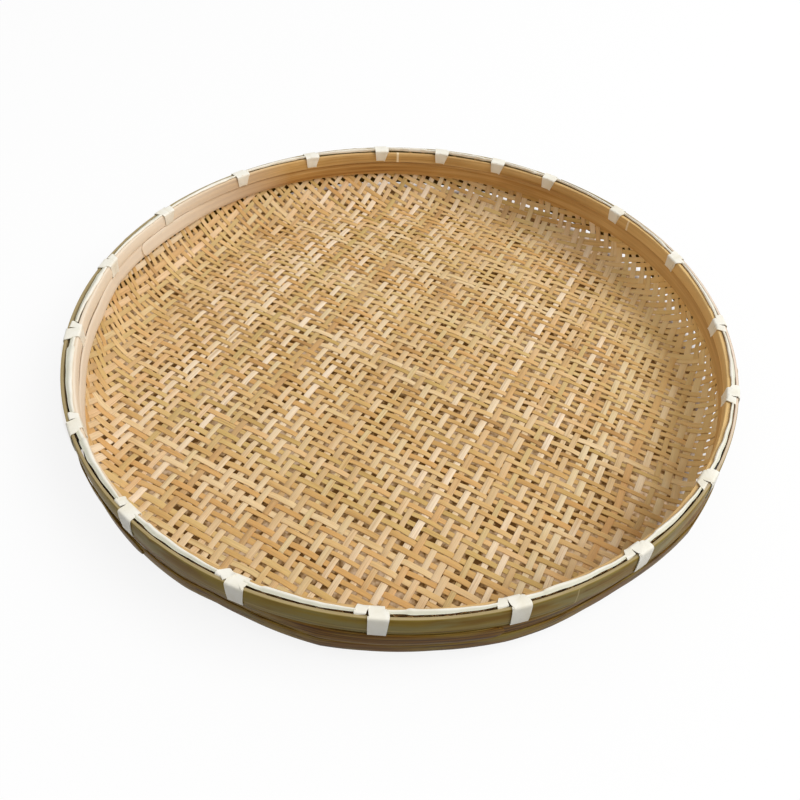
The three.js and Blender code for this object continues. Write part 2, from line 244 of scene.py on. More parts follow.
splitLook = {
    # from the palest split to the brownest, in sRGB
    "wide": [(0.0, (248, 226, 196)), (0.25, (236, 210, 170)), (0.5, (223, 191, 144)),
             (0.75, (208, 173, 120)), (1.0, (190, 150, 100))],
    "narrow": [(0.0, (238, 208, 160)), (0.25, (227, 190, 130)), (0.5, (216, 173, 108)),
               (0.75, (202, 160, 94)), (1.0, (182, 137, 80))],
    # tints, each as from, to, share and colour
    "warm": (0.65, 1.0, 0.5, (224, 168, 100)), "olive": (0.35, 0.0, 0.5, (204, 180, 106)),
    "blotched": (0.52, 0.72, 0.4, (224, 168, 100)), "stained": (0.56, 0.74, 0.5, (166, 120, 68)),
    # painted sheen: the splits paler on the left, where the wall faces the lamp
    "paintedLeftSheen": (-0.1, -0.26, 0.1, (236, 214, 172)),  # on the left
    # painted light: the splits paler on the right, where the wall faces away from the lamp
    "paintedPaleRight": (0.2, 0.27, 0.5, (255, 220, 148)),  # the wall that faces away from the lamp, still pale
    "skin": (-0.26 * mm, -0.36 * mm, 0.85, (146, 118, 68)),  # on the underside
    "grain": {"fibre": ((45, 2600, 2600), 4.0), "streak": ((9, 420, 420), 3.0),
              "blotch": ((22, 60, 60), 3.0), "drift": ((13, 20, 20), 1.0)},
}


def makeSplitMaterial(name, tones):
    material, tree, shader = startMaterial(name, 0.62, shine=0.35)
    place = attribute(tree, "grainPlace", "Vector")
    noise = noisesOf(tree, place, splitLook["grain"])
    fibre = noise["fibre"]
    shift = mapRange(tree, noise["drift"], 0.3, 0.7, -0.22, 0.22)
    tone = addNode(tree, "ShaderNodeMath", {0: attribute(tree, "splitTone"), 1: shift}, operation="ADD")
    colour = colourRamp(tree, tone.outputs[0], tones)
    hue = attribute(tree, "splitHue")
    colour = tint(tree, colour, hue, splitLook["warm"])
    colour = tint(tree, colour, hue, splitLook["olive"])
    colour = tint(tree, colour, noise["blotch"], splitLook["blotched"])
    colour = tint(tree, colour, noise["streak"], splitLook["stained"])
    colour = addStrands(tree, colour, fibre, 0.82, 1.1)
    right = rightward(tree)
    # painted sheen on the left and painted light on the right
    colour = tint(tree, colour, right, splitLook["paintedLeftSheen"])
    colour = tint(tree, colour, right, splitLook["paintedPaleRight"])
    through = addNode(tree, "ShaderNodeSeparateXYZ", {"Vector": place}).outputs["Z"]
    colour = tint(tree, colour, through, splitLook["skin"])
    tree.links.new(colour, shader.inputs["Base Color"])
    tree.links.new(mapRange(tree, fibre, 0.3, 0.7, 0.52, 0.74), shader.inputs["Roughness"])
    addBump(tree, shader, fibre, 0.35, 0.15 * mm)
    return material


# The mat

mat = {
    "turn": math.radians(-26.92),  # direction of the weave
    "wideStep": 10.35 * mm, "narrowStep": 7.74 * mm,
    "wideWidth": 5.4 * mm, "narrowWidth": 4.5 * mm,
    "wallWidth": 1.27,  # the splits crowd together where the mat turns up into the wall
    "splitThickness": 0.8 * mm,
    "lift": 0.44 * mm,  # how far a split lies from the middle of the mat
    "edgeDrop": 4.5 * mm,  # cut ends below the tops of the hoops
    "baseRise": 3.4 * mm,  # the woven base stands off the table inside the wall
    "baseWave": 0.7 * mm,
    "stray": 1.0 * mm,  # sideways wander of the splits
    "unevenStep": 0.075, "unevenWidth": 0.16,
    "tightCorner": 25 * mm,  # from base to wall on the near and right sides
    "looseCorner": 46 * mm,  # on the far left
    "leftInset": 4.6 * mm,  # the wall leans in on the left, and the inner strips with it
    "insetFrom": 6 * mm, "insetRun": 16 * mm,  # heights over which it does
    "swellReach": 0.22, "swellRun": 0.05,  # from the middle, where the wall starts to be out of round
    "swellFade": 14 * mm,
    "crowdedReach": (0.262, 0.295),
}


def dishProfile(cornerRadius):
    # middle surface of the mat from the centre to its upper edge, with arc length and inward normal
    inset = tray["matThickness"] / 2
    centre = tray["bellyRadius"] - cornerRadius
    bend = cornerRadius - inset
    pull = 0.35 * (tray["wallFoot"] - cornerRadius)
    flat = [(share * centre, inset) for share in np.linspace(0, 1, 60)]
    corner = [(centre + bend * math.sin(turn), cornerRadius - bend * math.cos(turn))
              for turn in np.linspace(0, math.pi / 2, 60)]
    outside = [(tray["bellyRadius"] - inset, cornerRadius),
               (tray["bellyRadius"] - inset, cornerRadius + pull),
               (tray["matOuter"] - inset, tray["wallFoot"] - pull),
               (tray["matOuter"] - inset, tray["wallFoot"])]
    weights = [np.array([(1 - t) ** 3, 3 * t * (1 - t) ** 2, 3 * t * t * (1 - t), t ** 3])
               for t in np.linspace(0, 1, 40)]
    belly = [tuple(weight @ np.array(outside)) for weight in weights]
    edge = [(tray["matOuter"] - inset, height)
            for height in np.linspace(tray["wallFoot"], tray["rimHeight"] - mat["edgeDrop"], 12)]
    points = np.array(flat + corner[1:] + belly[1:] + edge[1:])
    run = np.concatenate([[0], np.cumsum(np.linalg.norm(np.diff(points, axis=0), axis=1))])
    slope = unit(np.gradient(points, run, axis=0))
    curve = {"radius": points[:, 0], "height": points[:, 1], "out": -slope[:, 1], "up": slope[:, 0]}
    return {"run": run, "flat": centre, "curve": curve}


tightDish, looseDish = dishProfile(mat["tightCorner"]), dishProfile(mat["looseCorner"])
matReach = tightDish["run"][-1]


def looseShare(angle):
    # 1 on the far left, where the wall leans in a wider bend
    degrees = np.degrees(angle) % 360
    share = np.interp(degrees, [0, 45, 100, 170, 215, 360], [0, 0, 1, 1, 0, 0])
    return share * share * (3 - 2 * share)


# how far the lower wall stands out of round, read from the lower outline: degrees, mm
wallSwell = np.array([
    (0, 0), (200, 0), (213, 0.9), (220, -1.7), (232, -0.9), (240, -1.0), (245, -2.8), (250, -2.0),
    (255, -0.2), (261, 1.9), (267, 0.8), (276, 0), (286, 1.1), (292, 0), (298, -2.1), (304, -2.5),
    (309, -1.2), (314, 0.6), (320, 3.0), (328, 2.6), (334, 1.0), (342, 0), (360, 0),
])


def leftShare(angle):
    # 1 where the inner strips and the wall behind them stand further in, on the left
    return np.interp(np.degrees(angle) % 360, [168, 179, 198, 213], [0, 1, 1, 0])


def nearShare(angle):
    # 1 on the near side of the rim
    return np.interp(-np.sin(angle), [0.3, 0.8], [0, 1])


def swellAt(angle):
    return np.interp(np.degrees(angle) % 360, wallSwell[:, 0], wallSwell[:, 1]) * mm


def swellShare(height):
    # full low on the wall, none behind the outer hoop
    return np.clip((tray["wallFoot"] - height) / mat["swellFade"], 0, 1)


def onDish(flatX, flatY, lift):
    # lays points of the flat mat on the dish: their places, and the way up from the mat
    reach = np.hypot(flatX, flatY)
    outward = np.stack([flatX, flatY], -1) / np.maximum(reach, 1e-9)[..., None]
    angle = np.arctan2(flatY, flatX)
    loose = looseShare(angle)
    stretched = reach * looseDish["run"][-1] / matReach
    part = {key: (1 - loose) * np.interp(reach, tightDish["run"], tightDish["curve"][key])
            + loose * np.interp(stretched, looseDish["run"], looseDish["curve"][key])
            for key in ("radius", "height", "out", "up")}
    onWall = np.clip((reach - mat["swellReach"]) / mat["swellRun"], 0, 1)
    part["radius"] += swellAt(angle) * swellShare(part["height"]) * onWall
    high = np.clip((part["height"] - mat["insetFrom"]) / mat["insetRun"], 0, 1)
    part["radius"] -= mat["leftInset"] * leftShare(angle) * high
    rise = np.clip(1 - (reach / looseDish["flat"]) ** 4, 0, 1) ** 1.5
    wave = np.sin(flatX * 21 + 1.1) * np.sin(flatY * 26 + 0.4) + 0.6 * np.sin(flatX * 47 - flatY * 38)
    height = part["height"] + rise * (mat["baseRise"] + mat["baseWave"] * wave)
    up = unit(np.concatenate([outward * part["out"][..., None], part["up"][..., None]], -1))
    ground = np.concatenate([outward * part["radius"][..., None], height[..., None]], -1)
    return ground + up * np.asarray(lift)[..., None], up


def splitRow(step, width, count, seed):
    # the splits of one direction: even places with a maker's small errors
    rng = np.random.default_rng(seed)
    rows = []
    for index in range(-count, count + 1):
        rows.append({
            "index": index,
            "place": (index + rng.normal(0, mat["unevenStep"])) * step,
            "width": width * (1 + mat["unevenWidth"] * rng.uniform(-1, 1)),
            "tone": float(rng.beta(1.8, 2.2)),
            "hue": float(rng.uniform()),
            "wander": rng.uniform(-1, 1, 6),
            "drop": rng.uniform(0, 1, 2),
        })
    return rows


def wanderAt(row, along):
    # slow sideways wave of one split
    wave = sum(part * np.sin((order + 1) * math.pi * (along / matReach) + 5 * part)
               for order, part in enumerate(row["wander"]))
    return row["place"] + mat["stray"] * 0.4 * wave


wideRows = splitRow(mat["wideStep"], mat["wideWidth"], 34, 11)
narrowRows = splitRow(mat["narrowStep"], mat["narrowWidth"], 46, 12)


def layerShare(index, other):
    # two over, two under: the over lies on the inside of the tray
    return 1 if (index + other) % 4 < 2 else -1


def splitOutline(width, thickness, rng, stations):
    # a split's section: flat faces, worn corners, a low crown on the upper face
    half, corner = 0.5, 0.43
    shape = np.array([(-half, 0.18), (-corner, 0.5), (0, 0.6), (corner, 0.5), (half, 0.18),
                      (half, -0.25), (corner, -0.5), (-corner, -0.5), (-half, -0.25)])
    widths = width * (1 + 0.05 * slowNoise(rng, stations, 14))
    return shape[None] * np.stack([widths, np.full(stations, thickness)], -1)[:, None]


def addSplit(bm, row, crossing, widthwise, rng):
    # one split, from rim to rim, over and under the splits that cross it
    if abs(row["place"]) > matReach - 4 * mm:
        return
    half = math.sqrt(matReach ** 2 - row["place"] ** 2)
    ends = (-half + 3 * mm * row["drop"][0], half - 3 * mm * row["drop"][1])
    along, lift = [], []
    for other in crossing:
        middle = wanderAt(other, np.array(row["place"]))
        if not ends[0] + other["width"] / 2 < middle < ends[1] - other["width"] / 2:
            continue
        side = layerShare(row["index"], other["index"]) * (1 if widthwise else -1)
        edge = other["width"] / 2 + 0.2 * mm
        along += [middle - edge, middle + edge]
        lift += [side * mat["lift"]] * 2
    if len(along) < 4:
        return
    along = np.array([ends[0], *along, ends[1]])
    lift = np.array([lift[0], *lift, lift[-1]])
    order = np.argsort(along)
    along, lift = along[order], lift[order]
    sideways = wanderAt(row, along)
    flatU, flatV = (sideways, along) if widthwise else (along, sideways)
    turnCos, turnSin = math.cos(mat["turn"]), math.sin(mat["turn"])
    flatX = flatU * turnCos - flatV * turnSin
    flatY = flatU * turnSin + flatV * turnCos
    centres, up = onDish(flatX, flatY, lift)
    run = unit(np.gradient(centres, axis=0))
    up = unit(up - run * np.sum(up * run, -1, keepdims=True))
    across = np.cross(run, up)
    outline = splitOutline(row["width"], mat["splitThickness"] * rng.uniform(0.88, 1.0), rng, len(along))
    crowded = np.interp(np.hypot(flatX, flatY), mat["crowdedReach"], [0, mat["wallWidth"] - 1])
    outline[..., 0] *= 1 + (crowded * (1 - looseShare(np.arctan2(flatY, flatX))))[:, None]
    rollBar(bm, centres, across, up, outline, tone=row["tone"], hue=row["hue"],
            along=along + row["index"] * 1.7)


def buildMat():
    # each direction in two pieces, so that no piece grows too heavy
    wide = makeSplitMaterial("wideSplitBamboo", splitLook["wide"])
    narrow = makeSplitMaterial("narrowSplitBamboo", splitLook["narrow"])
    parts = [("wide_splits_left", wideRows, narrowRows, -1, wide),
             ("wide_splits_right", wideRows, narrowRows, 1, wide),
             ("narrow_splits_near", narrowRows, wideRows, -1, narrow),
             ("narrow_splits_far", narrowRows, wideRows, 1, narrow)]
    for name, rows, crossing, side, material in parts:
        bm = bmesh.new()
        rng = np.random.default_rng(20 + len(name))
        for row in rows:
            if (row["index"] >= 0) == (side > 0):
                addSplit(bm, row, crossing, rows is wideRows, rng)
        finishPiece(bm, name, "woven_mat", material)


buildMat()


# Hoops and liner

hoopLook = {"ripple": 0.14 * mm, "farSag": 3.4 * mm}  # the inner pieces hang lower at the back

outerHoop = {
    "node": "outer_hoop", "hidden": 297.6 * mm, "seen": 300 * mm, "bottom": 46.5 * mm, "top": 66 * mm,
    "crown": 0.5 * mm, "lean": 1.5 * mm, "lap": 70 * mm, "lapEnd": 54, "sag": 0, "footWave": 0.2 * mm,
    "inset": 0, "nearThin": 0, "nearDrop": 0,
    "brow": 0.9,  # share of the face's colour just below the top, where the inner hoop is worn pale
    "joints": (294.9, 349, 44, 103, 162, 236), "seamJoint": 294.9, "seed": 31,
}
innerHoop = {
    "node": "inner_hoop", "hidden": 294 * mm, "seen": 290.6 * mm, "bottom": 54 * mm, "top": 66 * mm,
    "crown": 0.4 * mm, "lean": 0, "lap": 78 * mm, "lapEnd": 34.5, "sag": hoopLook["farSag"],
    "footWave": 0.5 * mm, "inset": 2.3 * mm, "nearThin": 0.24, "nearDrop": 0.7 * mm, "brow": 0.15,
    "joints": (92.8, 156, 216, 262, 318), "seamJoint": 92.8, "seed": 32,
}
scarf = {"under": 0.6 * mm, "over": 1 * mm, "shoulder": 1 * mm, "gap": 0.3 * mm, "steps": 420}
culmJoint = {"rise": 0.45 * mm, "halfRun": 2.5 * mm}

# (height share, thickness share, skin share) round a hoop's section, hidden face first
hoopSection = [
    (0.02, 0, 0), (0, 0.12, 0), (0, 0.8, 0.15), (0.012, 0.93, 0.5), (0.04, 1, 0.9), (0.2, 1, 1),
    (0.4, 1, 1), (0.6, 1, 1), (0.8, 1, 1), (0.955, 1, 0.9), (0.985, 0.95, 0.5), (1, 0.8, 0.15),
    (1, 0.12, 0), (0.98, 0, 0),
]


def farSag(angle):
    return np.clip(np.sin(angle), 0, 1) ** 4


def buildHoop(hoop, name, material):
    rng = np.random.default_rng(hoop["seed"])
    side = 1 if hoop["seen"] > hoop["hidden"] else -1
    thickness = abs(hoop["seen"] - hoop["hidden"])
    lapAngle = hoop["lap"] / hoop["hidden"]
    shoulder = scarf["shoulder"] / hoop["hidden"]
    gapAngle = scarf["gap"] / hoop["hidden"]
    full = 2 * math.pi
    turned = np.unique(np.concatenate([
        [gapAngle], np.linspace(0, full + lapAngle, scarf["steps"])[1:-1],
        [lapAngle, lapAngle + shoulder, full - shoulder, full, full + lapAngle - gapAngle]]))
    start = math.radians(hoop["lapEnd"]) - lapAngle
    angle = start + turned
    parting = np.interp(turned % full, [0, lapAngle], [scarf["under"], thickness - scarf["over"]])
    under = np.where(turned <= lapAngle, parting - scarf["gap"] / 2, thickness)
    under = np.where((turned > lapAngle) & (turned < lapAngle + shoulder * 0.99), thickness * 0.9, under)
    over = np.where(turned >= full, parting + scarf["gap"] / 2, 0)

    stations = len(turned)
    heights = np.array([part[0] for part in hoopSection])
    depths = np.array([part[1] for part in hoopSection])
    skins = [hoop["brow"] if height > 0.9 and share == 0.9 else share for height, _, share in hoopSection]
    height = hoop["top"] - hoop["bottom"]
    topEdge = 0.35 * mm * slowNoise(rng, stations, 22) - 0.25 * mm
    footEdge = hoop["footWave"] * (slowNoise(rng, stations, 30) + 0.6)
    tall = (hoop["bottom"] + footEdge)[:, None] + heights * (height + topEdge - footEdge)[:, None]
    tall -= (hoop["sag"] * farSag(angle) + hoop["nearDrop"] * nearShare(angle))[:, None]
    under = under * (1 - hoop["nearThin"] * nearShare(angle))
    depth = over[:, None] + depths * (under - over)[:, None]
    bulge = np.sin(math.pi * heights) * hoop["crown"] * (depths > 0.9)
    ripple = np.stack([slowNoise(rng, stations, 35) for _ in hoopSection], -1) * hoopLook["ripple"]
    for joint in hoop["joints"]:
        away = (turned - (math.radians(joint) - start) % full) * hoop["hidden"]
        ring = np.exp(-(away / culmJoint["halfRun"]) ** 2)
        ring -= 0.5 * np.exp(-(away / culmJoint["halfRun"] - 2.2) ** 2)
        bulge = bulge + (ring * culmJoint["rise"])[:, None] * (depths > 0.9)
    lean = hoop["lean"] * (hoop["top"] - tall) / height
    relief = (bulge + ripple * (depths > 0.5)) * (under > thickness * 0.6)[:, None]

    outward = outwardAt(angle)
    centres = outward * (hoop["hidden"] - hoop["inset"] * leftShare(angle))[:, None]
    outline = np.stack([tall, side * (depth + relief) + lean], -1)
    bm = bmesh.new()
    rollBar(bm, centres, upwards(stations), outward, outline, tone=rng.uniform(), shade=skins,
            along=angle * hoop["hidden"])
    finishPiece(bm, name, hoop["node"], material, 40)


skinLook = {
    "flesh": (180, 161, 120), "fleshDark": (160, 142, 100), "edge": (158, 136, 70),
    # painted light: the flesh paler on the right, where it faces away from the lamp
    "paintedRightFlesh": (0.22, 0.29, 0.75, (250, 230, 214)),
    "crack": (58, 32, 10), "crackRun": 0.09, "crackShare": 0.8,
    "seam": (168, 150, 104), "seamHalf": 0.7 * mm,
    "grain": {"broad": ((6, 200, 200), 4.0), "fine": ((30, 1500, 1500), 4.0), "cloud": ((16, 50, 50), 3.0),
              "patch": ((24, 90, 90), 2.0), "crack": ((7, 650, 650), 3.0)},
}
# the hoop's skin is olive, that of the strips below it browner
hoopTones = {"skin": (144, 120, 48), "brown": (124, 94, 32), "grey": (138, 126, 78),
             "pale": (172, 150, 90), "crackFrom": 0.6}
stripTones = {"skin": (140, 112, 44), "brown": (116, 80, 26), "grey": (134, 116, 60),
              "pale": (172, 138, 72), "crackFrom": 0.5}


def makeSkinMaterial(name, tones, seam=None):
    # bamboo with its skin on: olive brown face, yellow-green cut edge, tan flesh
    material, tree, shader = startMaterial(name, 0.5, shine=0.05)
    place = attribute(tree, "grainPlace", "Vector")
    share = attribute(tree, "skinAndTailShade")
    noise = noisesOf(tree, place, skinLook["grain"])
    fine, crack = noise["fine"], noise["crack"]
    skin = tint(tree, linear(tones["skin"]), noise["cloud"], (0.4, 0.6, 1.0, tones["brown"]))
    skin = tint(tree, skin, noise["patch"], (0.5, 0.65, 0.8, tones["grey"]))
    skin = tint(tree, skin, noise["broad"], (0.45, 0.3, 0.55, tones["pale"]))
    skin = tint(tree, skin, crack, (tones["crackFrom"], tones["crackFrom"] + skinLook["crackRun"],
                                    skinLook["crackShare"], skinLook["crack"]))
    if seam:
        skin = mixColours(tree, seamAt(tree, place, seam, skinLook["seamHalf"]), skin,
                          linear(skinLook["seam"]))
    flesh = tint(tree, linear(skinLook["flesh"]), fine, (0.35, 0.7, 1.0, skinLook["fleshDark"]))
    # painted light on the right, where the flesh faces away from the lamp
    flesh = tint(tree, flesh, rightward(tree), skinLook["paintedRightFlesh"])
    colour = tint(tree, flesh, share, (0.1, 0.5, 1.0, skinLook["edge"]))
    colour = mixColours(tree, mapRange(tree, share, 0.5, 0.95, 0.0, 1.0), colour, skin)
    tree.links.new(colour, shader.inputs["Base Color"])
    tree.links.new(mapRange(tree, share, 0.3, 1.0, 0.66, 0.42), shader.inputs["Roughness"])
    addBump(tree, shader, mixColours(tree, 0.4, fine, crack), 0.35, 0.15 * mm)
    return material


fleshLook = {
    # tints, each as from, to, share and colour
    "wornEdge": (0.5, 0.1, 0.55, (226, 192, 138)),
    # painted sheen: paler on the left, where the hoops face the lamp
    "paintedLeftSheen": (-0.14, -0.26, 0.9, (244, 230, 210)),
    # the first colour and its range are painted light: paler on the right, where the hoops face away from
    # the lamp
    "paintedRightTint": (236, 198, 132), "paintedRightFrom": 0.17, "paintedRightTo": 0.27, "seam": (240, 220, 182),
    # pale, middle and dark fibres
    "hoop": [(222, 184, 122), (204, 161, 96), (168, 122, 64)],
    "liner": [(218, 176, 112), (194, 146, 80), (160, 110, 50)],
    "tonePlaces": (0.32, 0.52, 0.7),
    "grain": {"broad": ((5, 260, 260), 4.0), "fine": ((28, 1900, 1900), 4.0), "cloud": ((14, 22, 22), 2.0)},
}


def makeFleshMaterial(name, tones, rightShare, seams=()):
    # planed split bamboo with a paler worn edge, with painted sheen on the left, where it faces the lamp,
    # and painted light on the right, where it faces away from it
    material, tree, shader = startMaterial(name, 0.58, shine=0.3)
    place = attribute(tree, "grainPlace", "Vector")
    share = attribute(tree, "skinAndTailShade")
    noise = noisesOf(tree, place, fleshLook["grain"])
    colour = colourRamp(tree, noise["broad"], list(zip(fleshLook["tonePlaces"], tones)))
    colour = tint(tree, colour, noise["cloud"], (0.4, 0.7, 0.45, tones[-1]))
    colour = addStrands(tree, colour, noise["fine"], 0.82, 1.08)
    colour = tint(tree, colour, share, fleshLook["wornEdge"])
    # painted sheen on the left and painted light on the right
    right = rightward(tree)
    colour = tint(tree, colour, right, fleshLook["paintedLeftSheen"])
    colour = tint(tree, colour, right, (fleshLook["paintedRightFrom"], fleshLook["paintedRightTo"], rightShare,
                                        fleshLook["paintedRightTint"]))
    for seam, halfWidth in seams:
        colour = mixColours(tree, seamAt(tree, place, seam, halfWidth), colour, linear(fleshLook["seam"]))
    tree.links.new(colour, shader.inputs["Base Color"])
    addBump(tree, shader, noise["fine"], 0.3, 0.12 * mm)
    return material


def placeAlong(hoop, degrees):
    # how far along a hoop this angle lies, as its grain counts
    return math.radians(degrees) * hoop["hidden"]


buildHoop(outerHoop, "outer_hoop_skin",
          makeSkinMaterial("hoopSkin", hoopTones, placeAlong(outerHoop, outerHoop["seamJoint"])))
# pale lines on the inner hoop: a culm joint at the back and the cut end of the lap on the right
jointSeam = (placeAlong(innerHoop, innerHoop["seamJoint"]), 1.6 * mm)
lapSeam = (placeAlong(innerHoop, innerHoop["lapEnd"] + 360), 3.2 * mm)
buildHoop(innerHoop, "inner_hoop_split",
          makeFleshMaterial("splitHoopBamboo", fleshLook["hoop"], 0.7, (jointSeam, lapSeam)))

innerLiner = {
    "node": "inner_liner", "side": -1, "back": 294 * mm, "thickness": 1.4 * mm, "top": 53.6 * mm,
    "height": 15.8 * mm, "lap": 60 * mm, "lapEnd": 160, "lapBend": 40 * mm, "endRound": 5 * mm,
    "sag": hoopLook["farSag"], "edgeWave": (0.8 * mm, 0.4 * mm), "sway": 0.25 * mm, "inset": 5.0 * mm,
    "seed": 33,
}
# two strips round the outside of the wall, the lower one a little further out
outerStrips = [
    {"node": "outer_liner", "side": 1, "back": 299.5 * mm, "thickness": 1.1 * mm, "top": 46.2 * mm,
     "height": 14.4 * mm, "lap": 90 * mm, "lapEnd": 285, "lapBend": 70 * mm, "endRound": 12 * mm,
     "sag": 0, "edgeWave": (0.6 * mm, 0.25 * mm), "sway": 0.5 * mm, "inset": 0, "seed": 34},
    {"node": "outer_liner", "side": 1, "back": 300.4 * mm, "thickness": 1.1 * mm, "top": 33 * mm,
     "height": 14.6 * mm, "lap": 80 * mm, "lapEnd": 232, "lapBend": 60 * mm, "endRound": 14 * mm,
     "sag": 0, "edgeWave": (0.5 * mm, 0.8 * mm), "sway": 0.35 * mm, "inset": 0, "seed": 35},
]
lapGap, linerSteps = 0.3 * mm, 380


def buildLiner(liner, name, material):
    # a thin hoop against the wall, one rounded end lapped over the other on its seen side
    rng = np.random.default_rng(liner["seed"])
    full, lapAngle = 2 * math.pi, liner["lap"] / liner["back"]
    endAngle = liner["endRound"] / liner["back"]
    body = np.linspace(lapGap / liner["back"], full + lapAngle - endAngle, linerSteps)
    shares = np.array([0.3, 0.55, 0.75, 0.9, 0.97])
    turned = np.concatenate([body, body[-1] + shares * endAngle])
    stations = len(turned)
    angle = math.radians(liner["lapEnd"]) - lapAngle + turned
    rounding = np.sqrt(1 - np.clip((turned - body[-1]) / endAngle, 0, 1) ** 2)
    offWall = np.clip((turned - full) * liner["back"] / liner["lapBend"] + 1, 0, 1)
    offWall = offWall * (liner["thickness"] + lapGap)
    shape = np.array([(0.02, 0), (0, 0.3), (0, 0.75), (0.04, 1), (0.3, 1.05), (0.7, 1.05), (0.96, 1),
                      (1, 0.75), (1, 0.3), (0.98, 0)])
    footWave, headWave = liner["edgeWave"]
    foot = footWave * slowNoise(rng, stations, 24)
    head = headWave * (slowNoise(rng, stations, 28) - 1)
    middle = liner["top"] - liner["height"] / 2 - liner["sag"] * farSag(angle)
    low = middle - (liner["height"] / 2 - foot) * rounding
    high = middle + (liner["height"] / 2 + head) * rounding
    tall = low[:, None] + shape[:, 0] * (high - low)[:, None]
    sway = liner["sway"] * (slowNoise(rng, stations, 18) + 1) / 2
    depth = (offWall + sway)[:, None] + shape[:, 1] * liner["thickness"]
    if liner["side"] > 0:
        depth += swellAt(angle)[:, None] * swellShare(tall)
    outward = outwardAt(angle)
    outline = np.stack([tall, liner["side"] * depth], -1)
    # how much of the face's colour each corner of the section shows: skin all round, or a planed face
    shade = [0.97] * len(shape) if liner["side"] > 0 else [0, 0, 0.15, 0.9, 1, 1, 0.9, 0.15, 0, 0]
    bm = bmesh.new()
    back = liner["back"] - liner["inset"] * leftShare(angle)
    rollBar(bm, outward * back[:, None], upwards(stations), outward, outline,
            tone=rng.uniform(), shade=shade, along=angle * liner["back"])
    finishPiece(bm, name, liner["node"], material, 40)


buildLiner(innerLiner, "inner_liner_split",
           makeFleshMaterial("linerBamboo", fleshLook["liner"], 0.35))
stripSkin = makeSkinMaterial("stripSkin", stripTones)
buildLiner(outerStrips[0], "outer_liner_upper", stripSkin)
buildLiner(outerStrips[1], "outer_liner_lower", stripSkin)


# Lashing

band = {
    "thickness": 0.6 * mm, "clear": 0.35 * mm, "topWidth": 14.4 * mm, "footWidth": 12.2 * mm,
    "slotWidth": 10.6 * mm, "bend": 1.2 * mm, "innerBulge": 1.4 * mm, "shoulder": 2.4 * mm,
    # as laid in the five lashings nearest: mm aside of the foot, and of the left and right edges of the
    # loop and the left edge of the flap on the inner hoop
    "nearLoops": {20: (-1.0, -2.6, 8.0, -8.8), 1: (-1.1, -7.0, 3.4, -14.6), 2: (0, -7.9, 1.2, -13),
                  3: (-0.8, -7.6, 0.8, -12.4), 19: (-1.0, -6.5, 6.2, -14.2)},
    "farLoop": (-6.6, 6.2, -9.7),  # the same three edges at the back
}


def tieAngles():
    # where each lashing crosses the rim, read from the lowest part of its loop
    angles = []
    for index in range(1, 21):
        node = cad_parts["rim_tie_%02d" % index]
        points = np.array([vert.co for vert in node.data.vertices])
        foot = points[points[:, 2] < points[:, 2].min() + 0.5 * mm].mean(0)
        angles.append(math.atan2(foot[1], foot[0]))
    return angles


def roundedRoute(stops, closed):
    # (radius, height, aside, width) stops whose corners are rounded by their own bend
    route = []
    count = len(stops)
    for index, (radius, height, aside, width, bend) in enumerate(stops):
        here = np.array([radius, height, aside, width])
        if not closed and index in (0, count - 1):
            route.append(here)
            continue
        before = np.array(stops[index - 1][:4])
        after = np.array(stops[(index + 1) % count][:4])
        back, ahead = before - here, after - here
        backLength, aheadLength = np.linalg.norm(back[:2]), np.linalg.norm(ahead[:2])
        start = here + back * min(0.45, bend / backLength)
        end = here + ahead * min(0.45, bend / aheadLength)
        for share in (0, 0.25, 0.5, 0.75, 1):
            route.append(start * (1 - share) ** 2 + here * 2 * share * (1 - share) + end * share ** 2)
    if closed:
        route.append(route[0])
    return np.array(route)


def bandOutline(widths, thickness, crown):
    columns = np.array([-0.5, -0.3, 0, 0.3, 0.5])
    arch = crown * (1 - (2 * columns) ** 2)
    across = np.concatenate([columns, columns[::-1]])
    raised = np.concatenate([arch + thickness / 2, arch[::-1] - thickness / 2])
    return np.stack([widths[:, None] * across, np.tile(raised, (len(widths), 1))], -1)


def layBand(bm, route, angle, rng, closed=False, crown=0.0):
    # the route's aside becomes an angle round the rim, so that the band follows the hoops
    turn = angle + route[:, 2] / tray["rimRadius"]
    centres = outwardAt(turn) * route[:, :1] + np.array([0, 0, 1.0]) * route[:, 1:2]
    run = np.gradient(centres, axis=0)
    if closed:
        run[0] = run[-1] = centres[1] - centres[-2]
    run = unit(run)
    level = np.stack([-np.sin(turn), np.cos(turn), np.zeros(len(turn))], -1)
    across = unit(level - run * np.sum(level * run, -1, keepdims=True) * 0.6)
    up = unit(np.cross(across, run))
    across = np.cross(run, up)
    widths = route[:, 3] * (1 + 0.015 * slowNoise(rng, len(route), 6))
    if closed:
        widths[-1] = widths[0]
    outline = bandOutline(widths, band["thickness"], crown)
    rollBar(bm, centres, across, up, outline, tone=float(rng.uniform()), joined=closed)


def tuckedShare(angle):
    # at the back the flap hides behind the loop, elsewhere it lies beside it
    return np.interp(math.sin(angle), [0.1, 0.7], [0, 1])


def laidAs(number, angle, rng):
    # near, the loops and flaps slant and narrow over the inner hoop, at the back they lie straight
    foot, *edges = band["nearLoops"].get(number, (
        rng.normal(0, 0.8), rng.uniform(-8.2, -6.6), rng.uniform(1.5, 4), rng.uniform(-14, -11)))
    tucked = tuckedShare(angle)
    edges = [near + tucked * (far - near) for near, far in zip(edges, band["farLoop"])]
    return [foot * mm] + [edge * mm for edge in edges]


def overRim(angle):
    # the band's middle over the hoops and inside them, and how far the inner hoop lies lower there
    near = nearShare(angle)
    off = band["clear"] + band["thickness"] / 2
    inside = tray["innerInside"] - off - innerHoop["inset"] * leftShare(angle)
    inside += (innerHoop["hidden"] - innerHoop["seen"]) * innerHoop["nearThin"] * near
    return tray["rimHeight"] + off, inside, innerHoop["nearDrop"] * near


